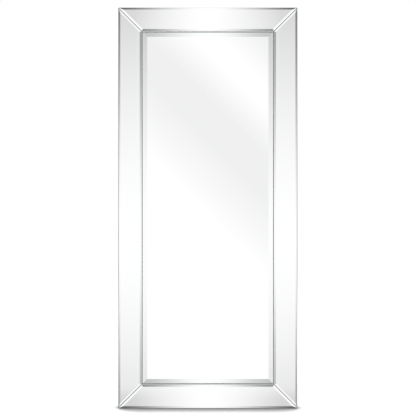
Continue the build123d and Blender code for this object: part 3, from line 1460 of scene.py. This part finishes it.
@dataclass(frozen=True)
class Flag:
    """A soft grey patch on the reflecting card, dark at its ends and white in its middle.

    Places are metres on the card. A level flag lies above and below the middle, and an
    upright one to the left and right of it.
    """

    lie: Lie
    window: tuple[float, float, float, float]
    reach: float
    high: float
    low: float
    fade: tuple[float, float]
    power: float = 0.0
    middle: float = 0.0

    def darkness(self, nodes: Nodes, across: Number, up: Number) -> Number:
        """How much white the flag takes away.

        Args:
            nodes: The card's tree.
            across: The place to the right of the middle.
            up: The place above the middle.

        Returns:
            Zero for white, one for black.
        """
        off, run = (up, across) if self.lie is Lie.LEVEL else (across, up)
        above = up.ramp(-0.02, 0.02)
        if self.lie is Lie.LEVEL:
            share = abs(run) / self.reach
        else:
            upper = (run - self.middle) / (self.reach - self.middle)
            lower = (self.middle - run) / (self.reach + self.middle)
            share = upper.least(lower)
        rise = share.least(0.0) ** self.power if self.power else share.ramp(0.03, 1.06, soft=True)
        depth = self.low + (self.high - self.low) * above
        inside = abs(off).window(*self.window) * (1.0 - abs(run).ramp(*self.fade, soft=True))
        return rise.most(1.1) * depth * inside


@dataclass
class Studio:
    """A pale floor, a white room, soft lamps, a large reflecting card and the camera."""

    sizes: Sizes
    camera_distance: float = 3.5
    frame_width: float = 1.4161
    sensor: float = 0.036
    card_distance: float = 7.0
    white: float = 1.05
    floor_gap: float = 1.2 * MM
    shadow_reach: float = 0.135

    FLAGS = (
        Flag(Lie.LEVEL, (2.07, 2.18, 2.40, 2.95), 0.73, 0.72, 0.72, (0.9, 1.5)),
        Flag(Lie.LEVEL, (2.85, 3.15, 3.60, 4.60), 0.70, 0.46, 0.46, (0.9, 1.5)),
        Flag(Lie.LEVEL, (6.30, 6.95, 7.50, 8.60), 1.12, 0.88, 0.88, (1.3, 2.4)),
        Flag(Lie.UPRIGHT, (1.60, 1.95, 2.30, 2.80), 1.92, 0.40, 0.22, (2.1, 3.0), 1.75, -0.37),
        Flag(Lie.UPRIGHT, (3.00, 3.35, 3.60, 3.70), 2.02, 0.64, 0.48, (2.2, 3.0), 0.0, -0.39),
        Flag(Lie.UPRIGHT, (4.70, 5.30, 5.80, 6.60), 2.40, 0.78, 0.60, (2.6, 3.6), 0.0, -0.42),
    )

    def build(self) -> None:
        """Set up the stage, the light and the camera."""
        self._floor()
        self._card()
        self._world()
        self._lamps()
        self._camera()
        bpy.context.scene.view_settings.view_transform = "Standard"

    @staticmethod
    def _sheet(name: str, corners: Sequence[Vector], material: bpy.types.Material) -> bpy.types.Object:
        """A flat piece of the stage."""
        mesh = bpy.data.meshes.new(name)
        mesh.from_pydata([tuple(c) for c in corners], [], [tuple(range(len(corners)))])
        mesh.materials.append(material)
        made = bpy.data.objects.new(name, mesh)
        bpy.context.scene.collection.objects.link(made)
        return made

    def _floor(self) -> None:
        """A pale floor that stays white for the camera and keeps the object's shadow, with a contact shadow
        painted round the object's foot.
        """
        material = bpy.data.materials.new("studio_floor")
        material.use_nodes = True
        nodes = Nodes(material.node_tree)
        seen = nodes.number(nodes.add("ShaderNodeLightPath"), "Is Camera Ray")
        # Occlusion near the object darkens the floor's colour and its glow for the camera: a painted
        # contact shadow.
        near = nodes.add("ShaderNodeAmbientOcclusion", {"samples": 24}, {"Distance": self.shadow_reach})
        painted_contact_shadow = nodes.number(near, "AO").ramp(0.61, 0.93)
        speckle = nodes.noise(35.0, 2.0).ramp(0.3, 0.7)
        pale = nodes.mix(speckle, (0.86, 0.86, 0.86), (0.88, 0.88, 0.88))
        shade = nodes.mix(painted_contact_shadow, (0.40, 0.40, 0.40), (1.0, 1.0, 1.0))
        matt = nodes.add(
            "ShaderNodeBsdfDiffuse", inputs={"Color": nodes.mix(1.0, pale, shade, "MULTIPLY")}
        )
        glow = nodes.add(
            "ShaderNodeEmission", inputs={"Color": (1.0, 1.0, 1.0), "Strength": seen * painted_contact_shadow * 0.35}
        )
        both = nodes.add("ShaderNodeAddShader", inputs={0: matt.outputs[0], 1: glow.outputs[0]})
        nodes.add("ShaderNodeOutputMaterial", inputs={"Surface": both.outputs[0]})
        low = -self.sizes.height / 2 - self.floor_gap
        corners = [Vector((x, y, low)) for x, y in ((-40, -40), (40, -40), (40, 40), (-40, 40))]
        floor = self._sheet("studio_floor", corners, material)
        floor.visible_glossy = False

    def _card(self) -> None:
        """The card behind the camera that the glass reflects."""
        material = bpy.data.materials.new("reflecting_card")
        material.use_nodes = True
        nodes = Nodes(material.node_tree)
        across, _, up = nodes.axes()
        dark = self._faces(across, up)
        for flag in self.FLAGS:
            dark = dark + flag.darkness(nodes, across, up)
        dark = dark + 0.34 * abs(across).ramp(2.9, 4.6, soft=True) * abs(up).ramp(2.45, 3.7, soft=True)
        light = nodes.add(
            "ShaderNodeEmission",
            inputs={"Color": (1.0, 1.0, 1.0), "Strength": self.white * (1.0 - dark.most(0.97))},
        )
        nodes.add("ShaderNodeOutputMaterial", inputs={"Surface": light.outputs[0]})
        y = -(0.030 + self.card_distance)
        corners = [Vector((x, y, z)) for x, z in ((-10, -10), (10, -10), (10, 10), (-10, 10))]
        card = self._sheet("reflecting_card", corners, material)
        card.visible_camera = False
        card.visible_diffuse = False
        card.visible_transmission = False
        card.visible_shadow = False

    @staticmethod
    def _faces(across: Number, up: Number) -> Number:
        """What the flat faces show: grey corners on the strips, a slanting band in the centre."""
        share = (abs(across) / 0.837).most(0.9) ** 1.55
        rise = ((up + 0.366) / 2.412).least(0.0) ** 1.75
        fall = ((-0.366 - up) / 1.68).least(0.0) ** 1.6 * 0.71
        foot = (0.0 - up).ramp(1.80, 1.97, soft=True) * 0.36
        corners = 0.385 * share * (rise + fall + foot)
        slant = across + up
        band = slant.ramp(-0.12, 0.68) - slant.ramp(1.144, 1.624) + slant.ramp(1.838, 2.339)
        centre = (1.0 - abs(across).ramp(0.63, 0.69)) * (1.0 - abs(up).ramp(1.76, 1.82))
        near = (1.0 - abs(across).ramp(0.95, 1.30, soft=True)) * (1.0 - abs(up).ramp(2.06, 2.12))
        return (corners * (1.0 - centre) + 0.137 * band * centre) * near

    def _world(self) -> None:
        """A white room for the camera and for the glass, and an even soft light for the rest."""
        world = bpy.data.worlds.new("white_room")
        bpy.context.scene.world = world
        world.use_nodes = True
        nodes = Nodes(world.node_tree)
        path = nodes.add("ShaderNodeLightPath")
        seen = nodes.number(path, "Is Camera Ray")
        mirrored = nodes.number(path, "Is Glossy Ray").least(nodes.number(path, "Is Transmission Ray"))
        direction = nodes.add("ShaderNodeTexCoord").outputs["Generated"]
        way = nodes.add("ShaderNodeSeparateXYZ", inputs={0: direction})
        behind = nodes.number(way, 1).ramp(0.05, 0.7, soft=True)
        height = nodes.number(way, 2)
        low_band = 0.62 * (1.0 - height.ramp(-0.15, 0.55, soft=True))
        bands = low_band + 0.25 * height.ramp(0.75, 0.95, soft=True)
        room = self.white * (1.0 - behind * bands)
        even = 0.62 + 0.16 * height.ramp(-0.2, 0.9)
        level = mirrored * room + (1.0 - mirrored) * even
        strength = seen + (1.0 - seen) * level
        light = nodes.add("ShaderNodeBackground", inputs={"Color": (1.0, 1.0, 1.0), "Strength": strength})
        nodes.add("ShaderNodeOutputWorld", inputs={"Surface": light.outputs[0]})

    @staticmethod
    def _lamp(name: str, place: Vector, size: float, power: float) -> None:
        """A soft square lamp that faces the object and stays out of reflections."""
        lamp = bpy.data.lights.new(name, "AREA")
        lamp.shape = "SQUARE"
        lamp.size = size
        lamp.energy = power
        made = bpy.data.objects.new(name, lamp)
        bpy.context.scene.collection.objects.link(made)
        made.location = place
        made.rotation_mode = "QUATERNION"
        made.rotation_quaternion = (-place).to_track_quat("-Z", "Y")
        made.visible_camera = False
        made.visible_glossy = False

    def _lamps(self) -> None:
        """A key lamp at the upper right, and fills so that no side is lost."""
        self._lamp("key", Vector((2.2, -2.6, 2.8)), 1.6, 70.0)
        self._lamp("back_key", Vector((-2.2, 3.0, 2.4)), 1.8, 70.0)
        self._lamp("left_fill", Vector((-3.2, -1.0, 0.8)), 2.0, 25.0)

    def _camera(self) -> None:
        """The camera, level and square on, as far off as a studio would put it."""
        data = bpy.data.cameras.new("camera")
        data.sensor_width = self.sensor * 1000
        data.lens = self.sensor * 1000 * self.camera_distance / self.frame_width
        camera = bpy.data.objects.new("camera", data)
        bpy.context.scene.collection.objects.link(camera)
        camera.location = (0.0006, -0.030 - self.camera_distance, -0.0005)
        camera.rotation_euler = (math.pi / 2, 0.0, 0.0)
        bpy.context.scene.camera = camera


def main() -> None:
    """Build the mirror on its frame and set up the studio."""
    logging.basicConfig(level=logging.INFO, format="%(name)s: %(message)s", stream=sys.stdout)
    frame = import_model()
    sizes = Sizes()
    MirrorStrips(sizes).build()
    CentreMirror(sizes).build()
    SoftParts(sizes).build()
    WoodFrame(sizes).build(frame)
    layer = ScrewRow(ZINC)
    BackPanel(sizes, WoodScrew(1.5 * MM, 11.5 * MM, 3.3 * MM, 1.8 * MM)).build(frame, layer)
    Hangers(sizes, WoodScrew(1.75 * MM, 18.1 * MM, 3.6 * MM, 2.0 * MM)).build(frame, layer)
    for corner in CORNERS:
        dress(formed(frame, f"{corner}_v_nails", ZINC), "mirror", "zinc_steel", f"{corner}_v_nails")
    WallBumpers(sizes).build()
    Studio(sizes).build()


if __name__ == "__main__":
    main()
